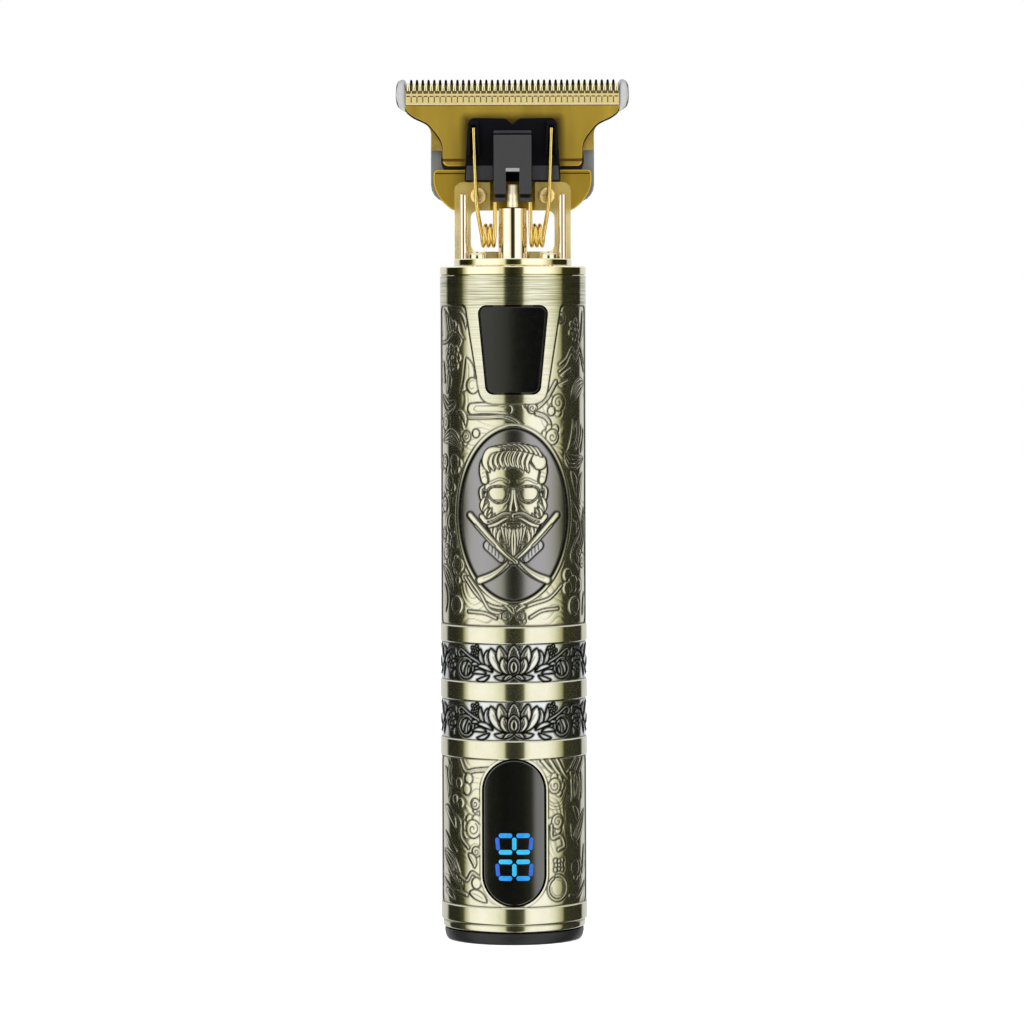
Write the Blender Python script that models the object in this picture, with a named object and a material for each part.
"""Cordless T-blade beard trimmer standing on its foot.

World frame: metres, +Z up along the body, -Y is the face with the button and the display,
origin at the centre of the foot's flat underside. Meshes are drawn in millimetres and each
object carries the scale that turns them into metres.
"""

import math

import bmesh
import bpy

MM = 0.001

# Body tube
TUBE_R, TUBE_SUNK_R, BORE_R = 13.4, 13.25, 12.0
TUBE_Z0, TUBE_Z1 = 2.35, 121.0
RINGS = ((3.9, 6.85), (33.85, 37.05), (44.3, 47.6), (54.7, 57.65))
# Foot
FOOT_R, FOOT_H = 12.7, 2.1
USB_W, USB_D = 8.94, 3.2
# Display and button
LENS_W, LENS_Z0, LENS_Z1 = 11.1, 7.3, 33.65
BUTTON_TOP, BUTTON_BOTTOM = (6.15, 115.4), (4.65, 99.85)
BUTTON_TRAVEL = 0.5
SEAM = 0.3
# Boards and battery
BOARD_Y0, BOARD_Y1 = -9.0, -8.2
CELL_R, CELL_Y, CELL_Z0, CELL_Z1 = 9.2, 1.7, 17.0, 82.0
# Motor
MOTOR_R, MOTOR_FLAT, MOTOR_Z0, MOTOR_Z1 = 10.2, 7.7, 91.5, 116.0
SHAFT_R = 1.0
# Head
COLLAR_Z0, COLLAR_Z1, SEAT_Z1, SEAT_R = 121.1, 122.7, 124.1, 10.7
HUB_R, HUB_Z0, HUB_Z1 = 2.62, 119.0, 133.5
PIN_R, PIN_OFFSET, PIN_Z1 = 1.02, 1.0, 137.65
EAR_Y0, EAR_Y1, EAR_Z1 = 1.0, 2.8, 138.15
COLLAR_SCREW_X, BLADE_SCREW_X, BLADE_SCREW_Z = 6.5, 6.2, 135.7
SPRING_WIRE_R, SPRING_COIL_R, SPRING_Z = 0.33, 1.87, 128.4
PITCH = 1.056
FIXED_Y0, FIXED_Y1, MOVING_Y0, MOVING_Y1 = 3.75, 5.3, 2.65, 3.65
FIXED_TIP_Z, MOVING_TIP_Z = 157.0, 156.25


# ---------------------------------------------------------------- materials

def material(name, colour, metallic, roughness, glow=None):
    made = bpy.data.materials.get(name)
    if made:
        return made
    made = bpy.data.materials.new(name)
    made.use_nodes = True
    shader = made.node_tree.nodes["Principled BSDF"]
    shader.inputs["Base Color"].default_value = (*colour, 1.0)
    shader.inputs["Metallic"].default_value = metallic
    shader.inputs["Roughness"].default_value = roughness
    if glow:
        shader.inputs["Emission Color"].default_value = (*glow, 1.0)
        shader.inputs["Emission Strength"].default_value = 4.0
    made.diffuse_color = (*colour, 1.0)
    return made


CHAMPAGNE = ("champagne_metal", (0.62, 0.58, 0.38), 1.0, 0.3)
GOLD = ("gold_plate", (0.63, 0.48, 0.13), 1.0, 0.22)
PALE_GOLD = ("spring_gold", (0.86, 0.76, 0.36), 1.0, 0.2)
STEEL = ("ground_steel", (0.5, 0.51, 0.5), 1.0, 0.35)
BLACK = ("black_plastic", (0.012, 0.012, 0.013), 0.0, 0.45)
GLOSS = ("gloss_black", (0.01, 0.01, 0.011), 0.0, 0.08)
GREY = ("dark_grey_plastic", (0.07, 0.07, 0.075), 0.0, 0.4)
WHITE = ("white_nylon", (0.78, 0.77, 0.72), 0.0, 0.5)
RUBBER = ("black_rubber", (0.02, 0.02, 0.02), 0.0, 0.8)
PCB = ("circuit_board", (0.02, 0.16, 0.07), 0.0, 0.45)
COPPER = ("copper_winding", (0.72, 0.33, 0.16), 1.0, 0.35)
WRAP = ("cell_wrap", (0.08, 0.22, 0.5), 0.0, 0.4)
FERRITE = ("ferrite", (0.07, 0.07, 0.08), 0.0, 0.7)
FOAM = ("foam_pad", (0.12, 0.12, 0.12), 0.0, 0.95)
RED = ("red_insulation", (0.6, 0.03, 0.02), 0.0, 0.5)


# ---------------------------------------------------------------- solids

def node(name, verts, faces, look):
    """A closed mesh in millimetres, scaled to metres, with its faces turned outwards."""
    mesh = bpy.data.meshes.new(name)
    mesh.from_pydata([tuple(v) for v in verts], [], faces)
    bm = bmesh.new()
    bm.from_mesh(mesh)
    bmesh.ops.recalc_face_normals(bm, faces=bm.faces)
    bm.to_mesh(mesh)
    bm.free()
    mesh.materials.append(material(*look))
    obj = bpy.data.objects.new(name, mesh)
    obj.scale = (MM, MM, MM)
    bpy.context.scene.collection.objects.link(obj)
    return obj


def loft(name, rings, look, loop=False):
    """Skins rings of equal length. Ends are capped, or joined to each other when loop is set."""
    count, size = len(rings), len(rings[0])
    verts = [p for ring in rings for p in ring]
    faces = []
    for i in range(count if loop else count - 1):
        a, b = i * size, (i + 1) % count * size
        faces += [(a + j, a + (j + 1) % size, b + (j + 1) % size, b + j) for j in range(size)]
    if not loop:
        faces += [tuple(range(size))[::-1], tuple(range((count - 1) * size, count * size))]
    return node(name, verts, faces, look)


def turned(name, profile, look, at=(0, 0), n=24, loop=False, lie=False):
    """Revolves (radius, height) pairs about a vertical axis at (x, y).

    With lie set the axis runs along Y through (x, z) and height is y."""
    rings, phase = [], 0.37 if at != (0, 0) else 0.0
    for r, h in profile:
        ring = []
        for k in range(n):
            a = 2 * math.pi * (k + phase) / n
            u, v = at[0] + r * math.cos(a), at[1] + r * math.sin(a)
            ring.append((u, h, v) if lie else (u, v, h))
        rings.append(ring)
    return loft(name, rings, look, loop)


def inset(points, by):
    """The outline moved inwards by a distance, mitred at its corners."""
    area = sum(a[0] * b[1] - b[0] * a[1] for a, b in zip(points, points[1:] + points[:1]))
    sign = 1 if area > 0 else -1
    out = []
    for i, p in enumerate(points):
        q, r = points[i - 1], points[(i + 1) % len(points)]
        d1 = (p[0] - q[0], p[1] - q[1])
        d2 = (r[0] - p[0], r[1] - p[1])
        l1, l2 = math.hypot(*d1), math.hypot(*d2)
        n1 = (-d1[1] / l1 * sign, d1[0] / l1 * sign)
        n2 = (-d2[1] / l2 * sign, d2[0] / l2 * sign)
        k = by / max(0.35, 1 + n1[0] * n2[0] + n1[1] * n2[1])
        out.append((p[0] + (n1[0] + n2[0]) * k, p[1] + (n1[1] + n2[1]) * k))
    return out


def prism(name, outline, low, high, look, along="y", edge=0.0, edge_low=None):
    """Extrudes an outline. along y: outline is (x, z); along z: (x, y); along x: (y, z)."""
    edge_low = edge if edge_low is None else edge_low
    place = {
        "y": lambda p, t: (p[0], t, p[1]),
        "z": lambda p, t: (p[0], p[1], t),
        "x": lambda p, t: (t, p[0], p[1]),
    }[along]
    steps = [(edge_low, low), (0, low + edge_low)] if edge_low else [(0, low)]
    steps += [(0, high - edge), (edge, high)] if edge else [(0, high)]
    rings = [[place(p, t) for p in (inset(outline, e) if e else outline)] for e, t in steps]
    return loft(name, rings, look)


def box(name, x, y, z, look):
    outline = [(x[0], z[0]), (x[1], z[0]), (x[1], z[1]), (x[0], z[1])]
    return prism(name, outline, y[0], y[1], look)


def fillet(points, radius, n=4):
    """Rounds each corner of a closed outline. radius is one number, or one per corner."""
    radii = radius if isinstance(radius, (list, tuple)) else [radius] * len(points)
    out = []
    for i, (p, r) in enumerate(zip(points, radii)):
        a, b = points[i - 1], points[(i + 1) % len(points)]
        if r <= 0:
            out.append(p)
            continue
        ua = (a[0] - p[0], a[1] - p[1])
        ub = (b[0] - p[0], b[1] - p[1])
        la, lb = math.hypot(*ua), math.hypot(*ub)
        ua, ub = (ua[0] / la, ua[1] / la), (ub[0] / lb, ub[1] / lb)
        half = math.acos(max(-1, min(1, ua[0] * ub[0] + ua[1] * ub[1]))) / 2
        t = r / math.tan(half)
        mid = (ua[0] + ub[0], ua[1] + ub[1])
        lm = math.hypot(*mid)
        c = (p[0] + mid[0] / lm * r / math.sin(half), p[1] + mid[1] / lm * r / math.sin(half))
        s = (p[0] + ua[0] * t, p[1] + ua[1] * t)
        e = (p[0] + ub[0] * t, p[1] + ub[1] * t)
        a0 = math.atan2(s[1] - c[1], s[0] - c[0])
        turn = math.atan2(e[1] - c[1], e[0] - c[0]) - a0
        turn = (turn + math.pi) % (2 * math.pi) - math.pi
        for k in range(n + 1):
            g = a0 + turn * k / n
            out.append((c[0] + r * math.cos(g), c[1] + r * math.sin(g)))
    return out


def mirrored(half):
    """A full outline from its right half, listed from the top centre line down to the bottom one."""
    return half + [(-x, z) for x, z in reversed(half) if x > 1e-6]


def wire(name, path, r, look, n=8):
    """A round wire along a 3-D path, with flat ends."""
    rings, up = [], None
    for i, p in enumerate(path):
        a, b = path[max(i - 1, 0)], path[min(i + 1, len(path) - 1)]
        t = [b[k] - a[k] for k in range(3)]
        size = math.sqrt(sum(v * v for v in t))
        t = [v / size for v in t]
        if up is None:
            up = (0.0, 1.0, 0.0) if abs(t[1]) < 0.8 else (1.0, 0.0, 0.0)
        dot = sum(up[k] * t[k] for k in range(3))
        u = [up[k] - dot * t[k] for k in range(3)]
        size = math.sqrt(sum(v * v for v in u))
        u = [v / size for v in u]
        w = (t[1] * u[2] - t[2] * u[1], t[2] * u[0] - t[0] * u[2], t[0] * u[1] - t[1] * u[0])
        up = u
        rings.append([
            tuple(p[k] + r * (math.cos(g) * u[k] + math.sin(g) * w[k]) for k in range(3))
            for g in (2 * math.pi * j / n for j in range(n))
        ])
    return loft(name, rings, look)


def smooth_path(points, n=4):
    """A Catmull-Rom curve through the points."""
    ext = [points[0]] + list(points) + [points[-1]]
    out = []
    for i in range(1, len(ext) - 2):
        p0, p1, p2, p3 = ext[i - 1:i + 3]
        for k in range(n):
            t = k / n
            out.append(tuple(
                0.5 * (2 * b + (c - a) * t + (2 * a - 5 * b + 4 * c - d) * t * t
                       + (3 * b - a - 3 * c + d) * t ** 3)
                for a, b, c, d in zip(p0, p1, p2, p3)))
    return out + [tuple(points[-1])]


def combine(obj, other, operation):
    step = obj.modifiers.new(operation.lower(), "BOOLEAN")
    step.operation, step.solver, step.object = operation, "EXACT", other
    other.hide_render = True
    other.display_type = "WIRE"
    return obj


def cut(obj, *others):
    for other in others:
        combine(obj, other, "DIFFERENCE")
    return obj


def add(obj, *others):
    for other in others:
        combine(obj, other, "UNION")
    return obj


def keep(obj, other):
    return combine(obj, other, "INTERSECT")


def drum(name, r, z0, z1, at=(0, 0), n=48):
    return turned(name, [(r, z0), (r, z1)], BLACK, at=at, n=n)


# ---------------------------------------------------------------- body

def button_outline(grow=0.0):
    (tx, tz), (bx, bz) = BUTTON_TOP, BUTTON_BOTTOM
    line = fillet([(-bx, bz), (bx, bz), (tx, tz), (-tx, tz)], 1.25, 5)
    return inset(line, -grow) if grow else line


def lens_outline(grow=0.0):
    r = LENS_W / 2 + grow
    z0, z1 = LENS_Z0 + LENS_W / 2, LENS_Z1 - LENS_W / 2
    angles = [math.pi * k / 15 for k in range(16)]
    top = [(r * math.cos(a), z1 + r * math.sin(a)) for a in angles]
    return top + [(-r * math.cos(a), z0 - r * math.sin(a)) for a in angles]


def housing():
    """The metal tube: smooth rings stand proud of the relief panels between them."""
    outer = [(12.9, TUBE_Z0), (TUBE_R, RINGS[0][0]), (TUBE_R, RINGS[0][1])]
    outer += [(TUBE_SUNK_R, RINGS[0][1] + 0.15)]
    for low, high in RINGS[1:]:
        outer += [(TUBE_SUNK_R, low - 0.15), (TUBE_R, low), (TUBE_R, high)]
        outer += [(TUBE_SUNK_R, high + 0.15)]
    outer += [(TUBE_SUNK_R, 115.6), (13.3, 115.8), (13.3, TUBE_Z1 - 0.15), (13.15, TUBE_Z1)]
    tube = turned("housing", outer + [(BORE_R, TUBE_Z1), (BORE_R, TUBE_Z0)], CHAMPAGNE,
                  n=48, loop=True)
    window = prism("housing_display_window", lens_outline(SEAM), -15, -6, BLACK)
    opening = prism("housing_button_window", button_outline(SEAM), -15, -6, BLACK)
    return cut(tube, window, opening)


def display_lens():
    lens = turned("display_lens", [(TUBE_SUNK_R, 2), (TUBE_SUNK_R, 40), (12.2, 40), (12.2, 2)],
                  GLOSS, n=48, loop=True)
    return keep(lens, prism("display_lens_shape", lens_outline(), -15, -6, BLACK))


def power_button():
    """A black key flush with the tube, with retaining tabs above and below and a hollow back."""
    key = turned("power_button", [(TUBE_SUNK_R, 96), (TUBE_SUNK_R, 119)], GLOSS, n=48)
    keep(key, prism("power_button_shape", button_outline(), -15, -10.0, BLACK))
    for side, z0, z1 in (("low", 98.8, 101.5), ("top", 113.8, 116.5)):
        tab = drum("power_button_tab_" + side, 11.65, z0, z1)
        keep(tab, box("power_button_tab_shape_" + side, (-3.6, 3.6), (-15, -10.4),
                      (z0 - 1, z1 + 1), BLACK))
        add(key, tab)
    cut(key, box("power_button_hollow", (-2.75, 2.75), (-10.6, -9), (105.0, 110.5), BLACK))
    boss = turned("power_button_boss", [(0.7, -10.8), (0.7, -10.35)], BLACK, at=(0, 107.75),
                  n=12, lie=True)
    return add(key, boss)


def tact_switch():
    body = box("switch_body", (-2.2, 2.2), (-9.85, BOARD_Y0 - 0.1), (105.55, 109.95), GREY)
    cut(body, turned("switch_body_hole", [(0.95, -11), (0.95, -8)], BLACK, at=(0, 107.75),
                     n=16, lie=True))
    turned("switch_plunger", [(0.8, -10.2), (0.8, -9.75)], BLACK, at=(0, 107.75), n=16, lie=True)
    return body


def base_cap():
    """Black foot with a plug that goes up the tube, a socket slot and two screw posts."""
    profile = [(11.9, 0), (12.2, 0.08), (12.45, 0.4), (FOOT_R, 1.3), (FOOT_R, FOOT_H),
               (11.75, FOOT_H), (11.75, 4.8), (10.75, 4.8), (10.75, 6.2), (11.75, 6.2),
               (11.75, 9.0), (10.2, 9.0), (10.2, 2.0)]
    cap = turned("base_cap", profile, BLACK, n=32)
    for side, x in (("left", -7.4), ("right", 7.4)):
        post = turned("base_cap_post_" + side, [(1.7, 1.0), (1.7, 9.9)], BLACK, at=(x, 3.5), n=16)
        add(cap, post)
        cut(cap, turned("base_cap_pilot_" + side, [(0.85, 4.5), (0.85, 11)], BLACK,
                        at=(x, 3.5), n=12))
    w, d = USB_W / 2 + 0.28, USB_D / 2 + 0.28
    slot = fillet([(-w, -d), (w, -d), (w, d), (-w, d)], d - 0.05, 6)
    return cut(cap, prism("base_cap_socket_slot", slot, -1, 4, BLACK, along="z"))


def base_seal():
    return turned("base_seal", [(10.95, 4.95), (11.85, 4.95), (11.9, 5.5), (11.85, 6.05),
                                (10.95, 6.05)], RUBBER, n=32, loop=True)


def charge_socket():
    """Metal shell of the charging socket, open downwards, with its contact tongue."""
    def oval(grow):
        w, d = USB_W / 2 + grow, USB_D / 2 + grow
        return fillet([(-w, -d), (w, -d), (w, d), (-w, d)], d - 0.05, 6)
    shell = prism("charge_socket", oval(0), 1.2, 9.9, STEEL, along="z")
    cut(shell, prism("charge_socket_mouth", oval(-0.3), 0, 9.1, BLACK, along="z"))
    return add(shell, box("charge_socket_tongue", (-3.35, 3.35), (-0.35, 0.35), (2.3, 9.4), BLACK))


def charge_board():
    board = drum("charge_board", 10.0, 10.2, 11.2, n=40)
    board.data.materials[0] = material(*PCB)
    keep(board, box("charge_board_shape", (-11, 11), (-7.4, 11), (9, 12), BLACK))
    for side, x in (("left", -7.4), ("right", 7.4)):
        cut(board, turned("charge_board_hole_" + side, [(1.1, 9), (1.1, 12)], BLACK,
                          at=(x, 3.5), n=16))
        pan_screw("charge_board_screw_" + side, (x, 3.5), 11.35, 5.2, 1.6, 0.95, 0.7, STEEL)
    box("board_header", (-3.8, 3.8), (-8.0, -5.6), (11.4, 13.4), BLACK)
    return board


def cross_cutter(name, at, high, depth, size, lie=False):
    """A plus-shaped driver recess that reaches down from a screw head."""
    a, b = size, size * 0.3
    line = [(-b, -a), (b, -a), (b, -b), (a, -b), (a, b), (b, b), (b, a), (-b, a), (-b, b),
            (-a, b), (-a, -b), (-b, -b)]
    line = [(at[0] + u, at[1] + v) for u, v in line]
    if lie:
        return prism(name, line, high - 1, high + depth, BLACK)
    return prism(name, line, high - depth, high + 1, BLACK, along="z")


def pan_screw(name, at, seat, tip, head_r, head_h, shank_r, look):
    """A vertical screw: domed head on its seat, shank down to its tip."""
    profile = [(shank_r * 0.6, tip), (shank_r, tip + 0.5), (shank_r, seat), (head_r, seat),
               (head_r, seat + head_h * 0.45), (head_r * 0.85, seat + head_h * 0.85),
               (head_r * 0.55, seat + head_h)]
    screw = turned(name, profile, look, at=at, n=12)
    return cut(screw, cross_cutter(name + "_recess", at, seat + head_h, head_h * 0.5,
                                   head_r * 0.55))


# ---------------------------------------------------------------- power pack and boards

def battery_pack():
    """Cell, its nickel tabs, the foam behind it and the cradle that holds it."""
    at = (0, CELL_Y)
    turned("battery_cell", [(CELL_R - 0.5, CELL_Z0), (CELL_R, CELL_Z0 + 0.5),
                            (CELL_R, CELL_Z1 - 2.0), (CELL_R - 0.35, CELL_Z1 - 1.7),
                            (CELL_R, CELL_Z1 - 1.4), (CELL_R, CELL_Z1 - 0.6),
                            (CELL_R - 0.6, CELL_Z1 - 0.3), (3.2, CELL_Z1 - 0.3),
                            (3.0, CELL_Z1 + 0.1)], WRAP, at=at, n=28)
    box("battery_tab_positive", (-2, 2), (-6.6, 3.5), (82.25, 82.5), STEEL)
    box("battery_tab_negative", (-2, 2), (-6.6, 3.5), (16.4, 16.65), STEEL)
    cradle = drum("battery_cradle", 11.7, 15.0, 84.4, n=48)
    cradle.data.materials[0] = material(*GREY)
    cut(cradle, drum("battery_cradle_pocket", CELL_R + 0.3, 16.2, 82.9, at=at, n=40))
    cut(cradle, box("battery_cradle_front", (-13, 13), (-13, -6.9), (10, 90), BLACK))
    cut(cradle, box("battery_cradle_rear", (-13, 13), (7.6, 13), (22, 77), BLACK))
    cut(cradle, box("battery_cradle_wire_way_top", (-3, 3), (-8, -4.2), (82, 86), BLACK))
    cut(cradle, box("battery_cradle_wire_way_low", (-3, 3), (-8, -4.2), (14, 17), BLACK))
    pad = drum("battery_pad", 11.75, 32, 66, n=48)
    pad.data.materials[0] = material(*FOAM)
    cut(pad, drum("battery_pad_cell", CELL_R + 0.2, 30, 68, at=at, n=48))
    keep(pad, box("battery_pad_shape", (-13, 13), (8.6, 13), (30, 68), BLACK))


def main_board():
    """One long board runs from the display up past the battery and motor to the switch."""
    line = [(-4.9, 12.2), (4.9, 12.2), (4.9, 116.0), (-4.9, 116.0)]
    prism("main_board", fillet(line, 0.8, 3), BOARD_Y0, BOARD_Y1, PCB)
    box("controller_chip", (-2.5, 2.5), (-9.9, -9.1), (42, 47), BLACK)
    box("charge_chip", (-1.5, 1.5), (-9.9, -9.1), (52.5, 55.5), BLACK)
    box("driver_chip", (-1.6, 1.6), (-10.0, -9.1), (87, 90), BLACK)
    turned("filter_capacitor", [(2.0, -11.0), (2.0, -9.4), (1.7, -9.4), (1.7, -9.1)], STEEL,
           at=(0, 94.5), n=16, lie=True)


def digit_segments(z0, z1):
    """One figure eight laid on its side: three uprights and four long bars."""
    xs, w = (-3.05, 0.0, 3.05), 0.33
    bars = [((x - w, x + w), (z0 + 0.55, z1 - 0.55)) for x in xs]
    for a, b in ((xs[0], xs[1]), (xs[1], xs[2])):
        bars += [((a + 0.15, b - 0.15), (z0, z0 + 2 * w)), ((a + 0.15, b - 0.15), (z1 - 2 * w, z1))]
    return bars


def digit_module():
    body = box("digit_module", (-3.9, 3.9), (-10.9, BOARD_Y0 - 0.1), (12.4, 21.5), GREY)
    body.data.materials[0] = material("lit_digits", (0.02, 0.2, 0.55), 0.0, 0.4,
                                      (0.02, 0.35, 1.0))
    for k, (z0, z1) in enumerate(((12.6, 16.2), (17.2, 20.8))):
        for j, (x, z) in enumerate(digit_segments(z0, z1)):
            add(body, box(f"digit_module_bar_{k}_{j}", x, (-11.15, -10.7), z, BLACK))
    return body


# ---------------------------------------------------------------- motor

def motor_outline(r, flat, n=9):
    a0 = math.asin(flat / r)
    right = [(r * math.cos(a), r * math.sin(a)) for a in (-a0 + 2 * a0 * k / n for k in range(n + 1))]
    return right + [(-x, -y) for x, y in right]


def motor():
    can = prism("motor_can", motor_outline(MOTOR_R, MOTOR_FLAT), MOTOR_Z0, MOTOR_Z1, STEEL,
                along="z", edge=0.4, edge_low=0)
    cut(can, prism("motor_can_inside", motor_outline(9.5, 7.0), 90, 115.3, BLACK, along="z"))
    cut(can, turned("motor_can_mouth", [(3.2, 114), (3.2, 118)], BLACK, n=24))
    for side, x, y in (("left", -4.5, 4.5), ("right", 4.5, -4.5)):
        cut(can, turned("motor_can_hole_" + side, [(1.1, 114), (1.1, 118)], BLACK, at=(x, y), n=16))
        pan_screw("motor_screw_" + side, (x, y), 118.3, 114.9, 1.7, 0.9, 0.85, STEEL)
    turned("motor_bushing_front", [(3.0, 114.8), (3.0, 117.3), (1.08, 117.3), (1.08, 114.8)],
           ("bearing_bronze", (0.55, 0.4, 0.2), 1.0, 0.35), n=24, loop=True)
    bell = prism("motor_end_bell", motor_outline(MOTOR_R, MOTOR_FLAT), 87.4, 91.2, WHITE, along="z")
    cut(bell, turned("motor_end_bell_well", [(6.6, 89.2), (6.6, 93)], BLACK, n=32))
    cut(bell, turned("motor_end_bell_seat", [(2.3, 86), (2.3, 90)], BLACK, n=24))
    turned("motor_bushing_rear", [(2.1, 87.5), (2.1, 89.4), (1.08, 89.4), (1.08, 87.5)],
           ("bearing_bronze", (0.55, 0.4, 0.2), 1.0, 0.35), n=24, loop=True)
    for side, s in (("left", -1), ("right", 1)):
        x = sorted((4.2 * s, 4.6 * s))
        box("motor_terminal_" + side, x, (-1.1, 1.1), (85.4, 87.25), ("terminal_tin", (0.6, 0.6, 0.6), 1.0, 0.35))
        x = sorted((2.75 * s, 4.9 * s))
        box("motor_brush_" + side, x, (-0.9, 0.9), (91.6, 93.2), FERRITE)
        magnet(side, s)


def magnet(side, s):
    arc = turned("motor_magnet_" + side, [(9.35, 95), (9.35, 113), (7.1, 113), (7.1, 95)],
                 FERRITE, n=48, loop=True)
    x = sorted((4.2 * s, 12 * s))
    return keep(arc, box("motor_magnet_shape_" + side, x, (-5.8, 5.8), (90, 116), BLACK))


def rotor():
    """Shaft, three-pole core, its windings, the commutator, the eccentric hub and its pin."""
    turned("motor_shaft", [(0.85, 86.4), (SHAFT_R, 86.6), (SHAFT_R, 130.8), (0.85, 131.0)],
           STEEL, n=16)
    core = turned("rotor_core", [(6.6, 96.5), (6.6, 111.5), (1.04, 111.5), (1.04, 96.5)], STEEL,
                  n=36, loop=True)
    coils = turned("rotor_windings", [(2.5, 94.6), (5.6, 94.6), (6.1, 95.2), (6.1, 96.3),
                                      (2.5, 96.3)], COPPER, n=24, loop=True)
    top = turned("rotor_windings_top", [(2.5, 111.7), (6.1, 111.7), (6.1, 113.0), (5.6, 113.5),
                                        (2.5, 113.5)], COPPER, n=24, loop=True)
    add(coils, top)
    for k in range(3):
        a = math.radians(90 + 120 * k)
        slot, bar = [], []
        for u, v in ((2.7, -0.75), (7.5, -0.75), (7.5, 0.75), (2.7, 0.75)):
            slot.append((u * math.cos(a) - v * math.sin(a), u * math.sin(a) + v * math.cos(a)))
        for u, v in ((3.0, -0.55), (5.7, -0.55), (5.7, 0.55), (3.0, 0.55)):
            bar.append((u * math.cos(a) - v * math.sin(a), u * math.sin(a) + v * math.cos(a)))
        cut(core, prism(f"rotor_core_slot_{k}", slot, 95, 113, BLACK, along="z"))
        add(coils, prism(f"rotor_windings_bar_{k}", bar, 96.0, 112.0, COPPER, along="z"))
    turned("commutator", [(2.5, 91.4), (2.5, 93.6), (1.04, 93.6), (1.04, 91.4)], COPPER,
           n=24, loop=True)
    hub = turned("eccentric_hub", [(2.4, HUB_Z0), (HUB_R, HUB_Z0 + 0.2), (HUB_R, HUB_Z1 - 0.15),
                                   (HUB_R - 0.15, HUB_Z1)], GOLD, n=24)
    cut(hub, turned("eccentric_hub_bore", [(1.04, 118), (1.04, 131.3)], BLACK, n=16))
    cut(hub, turned("eccentric_hub_socket", [(PIN_R + 0.03, 131.7), (PIN_R + 0.03, 134)], BLACK,
                    at=(0, -PIN_OFFSET), n=20))
    turned("drive_pin", [(PIN_R, 131.9), (PIN_R, PIN_Z1 - 0.2), (PIN_R - 0.2, PIN_Z1)], STEEL,
           at=(0, -PIN_OFFSET), n=20)


def motor_mounting():
    """The plate the motor hangs from, its rubber sleeve and the gasket under the collar."""
    plate = turned("motor_mount", [(11.7, 116.3), (11.7, 118.15), (3.5, 118.15), (3.5, 116.3)],
                   GREY, n=36, loop=True)
    for side, x in (("left", -COLLAR_SCREW_X), ("right", COLLAR_SCREW_X)):
        add(plate, turned("motor_mount_boss_" + side, [(2.1, 117), (2.1, 120.9)], BLACK,
                          at=(x, 0), n=14))
        cut(plate, turned("motor_mount_pilot_" + side, [(1.05, 117.3), (1.05, 122)], BLACK,
                          at=(x, 0), n=16))
    for side, x, y in (("left", -4.5, 4.5), ("right", 4.5, -4.5)):
        cut(plate, turned("motor_mount_hole_" + side, [(1.1, 115), (1.1, 120)], BLACK,
                          at=(x, y), n=16))
    cut(plate, box("motor_mount_key_notch", (-4.3, 4.3), (-13, -9.6), (115, 119), BLACK))
    turned("collar_gasket", [(10.8, 118.4), (11.75, 118.4), (11.75, 119.4), (10.8, 119.4)],
           RUBBER, n=32, loop=True)
    sleeve = drum("motor_sleeve", 11.75, 94.5, 112.5, n=48)
    sleeve.data.materials[0] = material(*RUBBER)
    cut(sleeve, prism("motor_sleeve_pocket", motor_outline(MOTOR_R + 0.2, MOTOR_FLAT + 0.2), 94,
                      113, BLACK, along="z"))
    cut(sleeve, box("motor_sleeve_gap", (-13, 13), (-13, -7.0), (90, 116), BLACK))


def wiring():
    wire("battery_wire_red", smooth_path([(-1.2, -5.6, 83.1), (-1.2, -5.7, 84.6),
                                          (-1.2, -6.6, 85.8), (-1.2, -7.95, 86.6)], 3), 0.45, RED)
    wire("battery_wire_black", smooth_path([(1.2, -5.6, 15.8), (1.2, -5.6, 14.9),
                                            (1.2, -6.6, 14.3), (1.2, -7.95, 14.0)], 3), 0.4, BLACK)
    wire("motor_wire_red", smooth_path([(-4.4, -1.5, 86.2), (-4.4, -3.6, 86.0),
                                        (-3.9, -6.4, 86.2), (-3.6, -7.95, 86.6)], 3), 0.42, RED)
    wire("motor_wire_black", smooth_path([(4.4, -1.5, 86.2), (4.4, -3.6, 86.0),
                                          (3.9, -6.4, 86.2), (3.6, -7.95, 86.6)], 3), 0.42, BLACK)


# ---------------------------------------------------------------- head

def top_collar():
    collar = turned("top_collar", [(3.3, COLLAR_Z0), (10.8, COLLAR_Z0), (10.8, 119.6),
                                   (11.8, 119.6), (11.8, COLLAR_Z0), (13.2, COLLAR_Z0),
                                   (13.3, COLLAR_Z0 + 0.1), (13.3, COLLAR_Z1 - 0.25),
                                   (13.05, COLLAR_Z1), (3.3, COLLAR_Z1)], GOLD, n=48, loop=True)
    for side, x in (("left", -COLLAR_SCREW_X), ("right", COLLAR_SCREW_X)):
        cut(collar, turned("top_collar_hole_" + side, [(1.15, 118), (1.15, 124)], BLACK,
                           at=(x, 0), n=16))
        pan_screw("collar_screw_" + side, (x, 0), SEAT_Z1 + 0.12, 118.4, 1.58, 1.15, 0.9, GOLD)
    return collar


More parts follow.
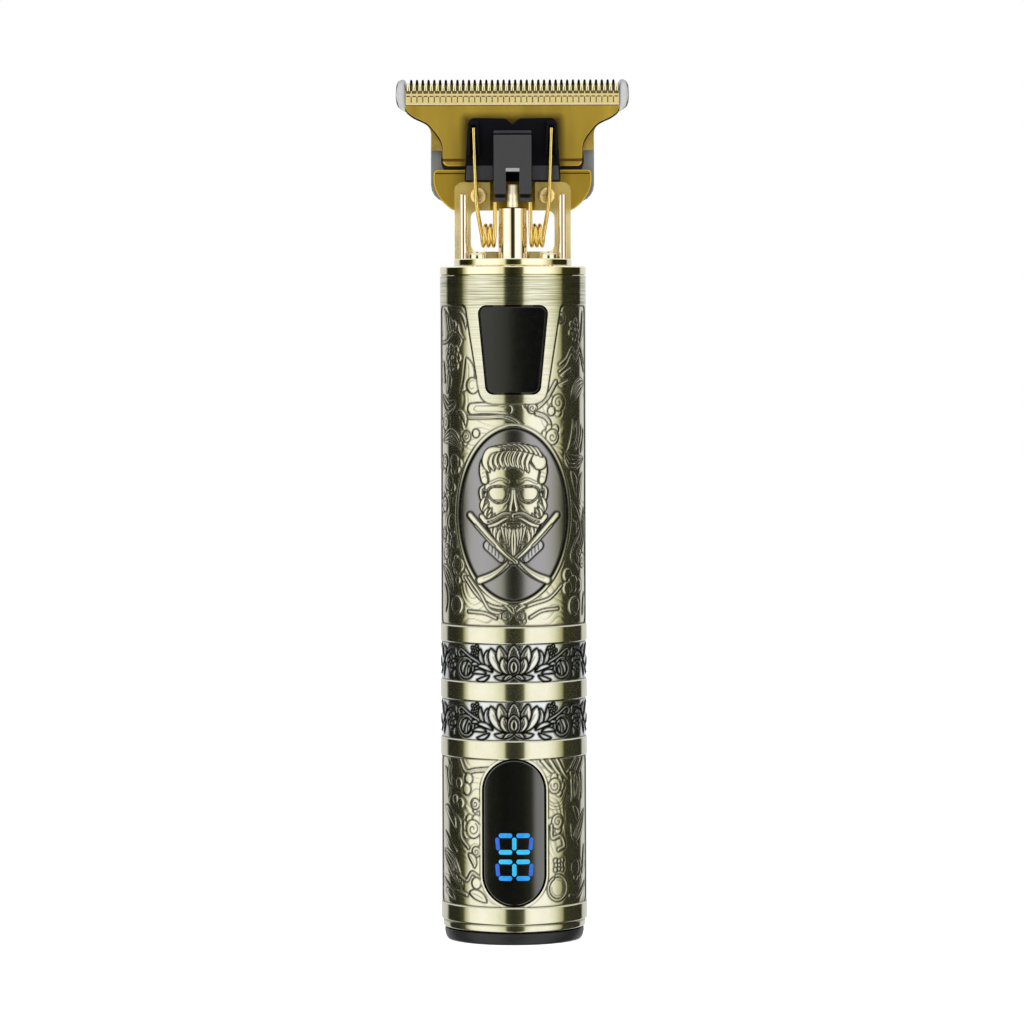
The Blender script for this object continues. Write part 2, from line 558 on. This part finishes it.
def neck_frame():
    """Seat disc with two pillars whose ears hold the blade set; the middle is open right through."""
    seat = turned("neck_frame", [(3.15, 122.85), (SEAT_R, 122.85), (SEAT_R, SEAT_Z1 - 0.2),
                                 (SEAT_R - 0.2, SEAT_Z1), (3.15, SEAT_Z1)], GOLD, n=48, loop=True)
    half = [(0, 123.4), (10.7, 123.4), (10.7, EAR_Z1), (4.1, EAR_Z1), (4.1, 133.0),
            (7.65, 133.0), (7.65, 125.5), (0, 125.5)]
    radii = [0, 0, 1.7, 0.15, 0.15, 1.3, 1.3, 0]
    right = fillet(half, radii, 5)
    body = prism("neck_frame_body", right + [(-x, z) for x, z in reversed(right) if x > 0],
                 EAR_Y0, 5.3, GOLD)
    cut(body, box("neck_frame_blade_seat", (-12, 12), (EAR_Y1, 7), (132.85, 140), BLACK))
    keep(body, turned("neck_frame_round", [(SEAT_R - 0.06, 122), (SEAT_R - 0.06, 140)], BLACK,
                      n=58))
    add(seat, body)
    cut(seat, turned("neck_frame_hub_way", [(3.15, 122), (3.15, 126)], BLACK, n=32))
    for side, s in (("left", -1), ("right", 1)):
        add(seat, turned("neck_frame_rib_" + side, [(0.71, 123.6), (0.71, 136.0)], BLACK,
                         at=(9.0 * s, EAR_Y0 + 0.07), n=16))
        cut(seat, turned("neck_frame_head_well_" + side, [(1.85, SEAT_Z1 - 0.04), (1.85, 126.5)], BLACK,
                         at=(COLLAR_SCREW_X * s, 0), n=24))
        cut(seat, turned("neck_frame_screw_hole_" + side, [(1.15, 122), (1.15, 125)], BLACK,
                         at=(COLLAR_SCREW_X * s, 0), n=16))
        cut(seat, turned("neck_frame_blade_hole_" + side, [(1.15, 0), (1.15, 4)], BLACK,
                         at=(BLADE_SCREW_X * s, BLADE_SCREW_Z), n=16, lie=True))
    return seat


def blade_screws():
    for side, s in (("left", -1), ("right", 1)):
        at = (BLADE_SCREW_X * s, BLADE_SCREW_Z)
        y = EAR_Y0 - 0.1
        screw = turned("blade_screw_" + side, [(0.8, y - 0.55), (1.25, y - 0.45), (1.5, y - 0.15),
                                               (1.5, y), (0.9, y), (0.9, 6.0), (0.6, 6.3)],
                       GOLD, at=at, n=16, lie=True)
        cut(screw, cross_cutter("blade_screw_recess_" + side, at, y - 0.55, 0.4, 0.8, lie=True))


def tension_springs():
    for side, s in (("left", -1), ("right", 1)):
        path = [(3.2 * s, -1.7, 134.4), (3.22 * s, -SPRING_COIL_R, 130.5)]
        per, turns = 14, 2.5
        count = int(per * turns)
        for k in range(count + 1):
            a = math.pi + 2 * math.pi * k / per
            x = 3.28 + (5.6 - 3.28) * k / count
            path.append((x * s, SPRING_COIL_R * math.cos(a), SPRING_Z + SPRING_COIL_R * math.sin(a)))
        path += [(5.95 * s, 1.3, 130.4), (6.45 * s, 0.05, 133.2), (6.6 * s, -0.2, 134.8),
                 (6.8 * s, -0.25, 139.5), (7.0 * s, -0.4, 145.0), (7.1 * s, -0.5, 148.0)]
        wire("tension_spring_" + side, path, SPRING_WIRE_R, PALE_GOLD, n=6)


def drive_yoke():
    """Plastic driver on the moving blade: a slotted block between two wings with spring seats."""
    side = [(0, 148.75), (0.9, 149.55), (7.2, 149.9), (7.9, 149.65), (8.1, 149.0), (8.3, 145.0),
            (8.75, 139.2), (8.75, 138.35), (0, 138.35)]
    yoke = prism("drive_yoke", mirrored(side), 0.5, 2.5, BLACK)
    block = prism("drive_yoke_block", fillet([(-3.44, 135.85), (3.44, 135.85), (3.44, 146.7),
                                              (-3.44, 146.7)], 0.2, 2), -3.3, 0.8, GREY, edge=0)
    add(yoke, block)
    for name, s in (("left", -1), ("right", 1)):
        x = sorted((1.3 * s, 3.6 * s))
        add(yoke, box("drive_yoke_lip_" + name, x, (-2.4, 0.6), (134.6, 136.2), BLACK))
        x = sorted((1.0 * s, 4.0 * s))
        cut(yoke, box("drive_yoke_groove_" + name, x, (-2.6, -1.4), (135.2, 135.82), BLACK))
        pocket = [(6.0 * s, 143.2), (8.15 * s, 143.2), (7.95 * s, 149.2), (6.25 * s, 149.2)]
        add(yoke, prism("drive_yoke_pocket_" + name, pocket, -0.95, 0.8, BLACK))
        way = [(6.2 * s, 142.9), (7.75 * s, 142.9), (7.55 * s, 148.5), (6.65 * s, 148.5)]
        cut(yoke, prism("drive_yoke_way_" + name, way, -1.2, 0.45, BLACK))
    return cut(yoke, box("drive_yoke_slot", (-1.21, 1.21), (-3.6, 1.3), (134.2, 139.9), BLACK))


def comb(offset, count, tip_z, root_z, tip_w, root_w):
    """Right-to-left run of teeth between two end points, as outline points."""
    points = []
    for i in range(count):
        x = offset - i * PITCH
        points += [(x + root_w, root_z), (x + tip_w, tip_z), (x - tip_w, tip_z),
                   (x - root_w, root_z)]
    return points


def moving_blade():
    """T-shaped cutter in front of the fixed blade, bevelled towards its tooth tips."""
    low = [(19.5, 154.5), (19.5, 151.8), (19.1, 151.0), (17.9, 150.1), (16.6, 149.5),
           (15.5, 148.9), (14.8, 148.2), (14.0, 147.2), (13.3, 146.2), (12.9, 145.3),
           (12.75, 144.5), (12.75, 141.9), (12.5, 141.35), (11.95, 141.1)]
    line = comb(18 * PITCH, 37, MOVING_TIP_Z, 154.5, 0.26, 0.34)
    line += [(-x, z) for x, z in low] + list(reversed(low))
    blade = prism("moving_blade", line, MOVING_Y0, MOVING_Y1, GOLD)
    wedge = [(MOVING_Y0 - 1, 152.3), (MOVING_Y0, 152.3), (3.3, 156.6), (3.3, 158), (MOVING_Y0 - 1, 158)]
    cut(blade, prism("moving_blade_bevel", wedge, -22, 22, BLACK, along="x"))
    step = [(MOVING_Y0 - 1, 141.9), (MOVING_Y0 + 0.25, 142.15), (MOVING_Y0 + 0.25, 142.5),
            (MOVING_Y0 - 1, 142.7)]
    return cut(blade, prism("moving_blade_groove", step, -22, 22, BLACK, along="x"))


def fixed_blade():
    """T-shaped comb with rounded end lobes, a waist behind the cutter and a thick screwed foot."""
    low = [(19.15, 153.4), (19.2, 155.8), (19.45, 156.6), (20.1, 157.0), (20.75, 156.8),
           (21.2, 156.2), (21.35, 155.4), (21.35, 151.9), (21.2, 151.1), (20.8, 150.5),
           (20.3, 150.25), (19.5, 150.4), (18.1, 149.8), (16.8, 149.15), (15.7, 148.5),
           (15.1, 147.8), (14.9, 147.0), (14.9, 144.3), (12.4, 144.1), (12.4, 140.6),
           (13.8, 140.5), (14.3, 140.2), (14.45, 139.6), (14.45, 138.2), (14.2, 137.0),
           (13.7, 135.9), (12.9, 134.8), (12.0, 133.9), (11.2, 133.3), (10.5, 133.05)]
    line = comb(17.5 * PITCH, 36, FIXED_TIP_Z, 153.4, 0.2, 0.36)
    line += [(-x, z) for x, z in low] + list(reversed(low))
    blade = prism("fixed_blade", line, FIXED_Y0, FIXED_Y1, GOLD)
    wedge = [(FIXED_Y1 + 1, 150.5), (FIXED_Y1, 150.5), (FIXED_Y0 + 0.45, 157.2),
             (FIXED_Y0 + 0.45, 159), (FIXED_Y1 + 1, 159)]
    cut(blade, prism("fixed_blade_bevel", wedge, -23, 23, BLACK, along="x"))
    foot = [(14.45, 138.2), (14.2, 137.0), (13.7, 135.9), (12.9, 134.8), (12.0, 133.9),
            (11.2, 133.3), (10.5, 133.05)]
    foot = [(14.3, 140.2), (14.45, 139.6)] + foot
    foot = [(13.8, 140.5)] + foot
    pad = prism("fixed_blade_foot", foot + [(-x, z) for x, z in reversed(foot)], 3.0,
                FIXED_Y0 + 0.3, GOLD, edge=0, edge_low=0.35)
    add(blade, pad)
    for side, s in (("left", -1), ("right", 1)):
        cut(blade, turned("fixed_blade_hole_" + side, [(1.1, 2), (1.1, 6)], BLACK,
                          at=(BLADE_SCREW_X * s, BLADE_SCREW_Z), n=16, lie=True))
    return blade


def blade_backing():
    line = fillet([(-14.95, 134.6), (14.95, 134.6), (14.95, 146.2), (-14.95, 146.2)],
                  [3.2, 3.2, 0.6, 0.6], 5)
    plate = prism("blade_backing", line, 5.45, 6.35, STEEL, edge=0.2)
    for side, s in (("left", -1), ("right", 1)):
        cut(plate, turned("blade_backing_hole_" + side, [(1.1, 5), (1.1, 7)], BLACK,
                          at=(BLADE_SCREW_X * s, BLADE_SCREW_Z), n=16, lie=True))
    return plate


# ---------------------------------------------------------------- assembly

for old in list(bpy.data.objects):
    bpy.data.objects.remove(old, do_unlink=True)

housing()
display_lens()
power_button()
tact_switch()
base_cap()
base_seal()
charge_socket()
charge_board()
battery_pack()
main_board()
digit_module()
motor()
rotor()
motor_mounting()
wiring()
top_collar()
neck_frame()
blade_screws()
tension_springs()
drive_yoke()
moving_blade()
fixed_blade()
blade_backing()
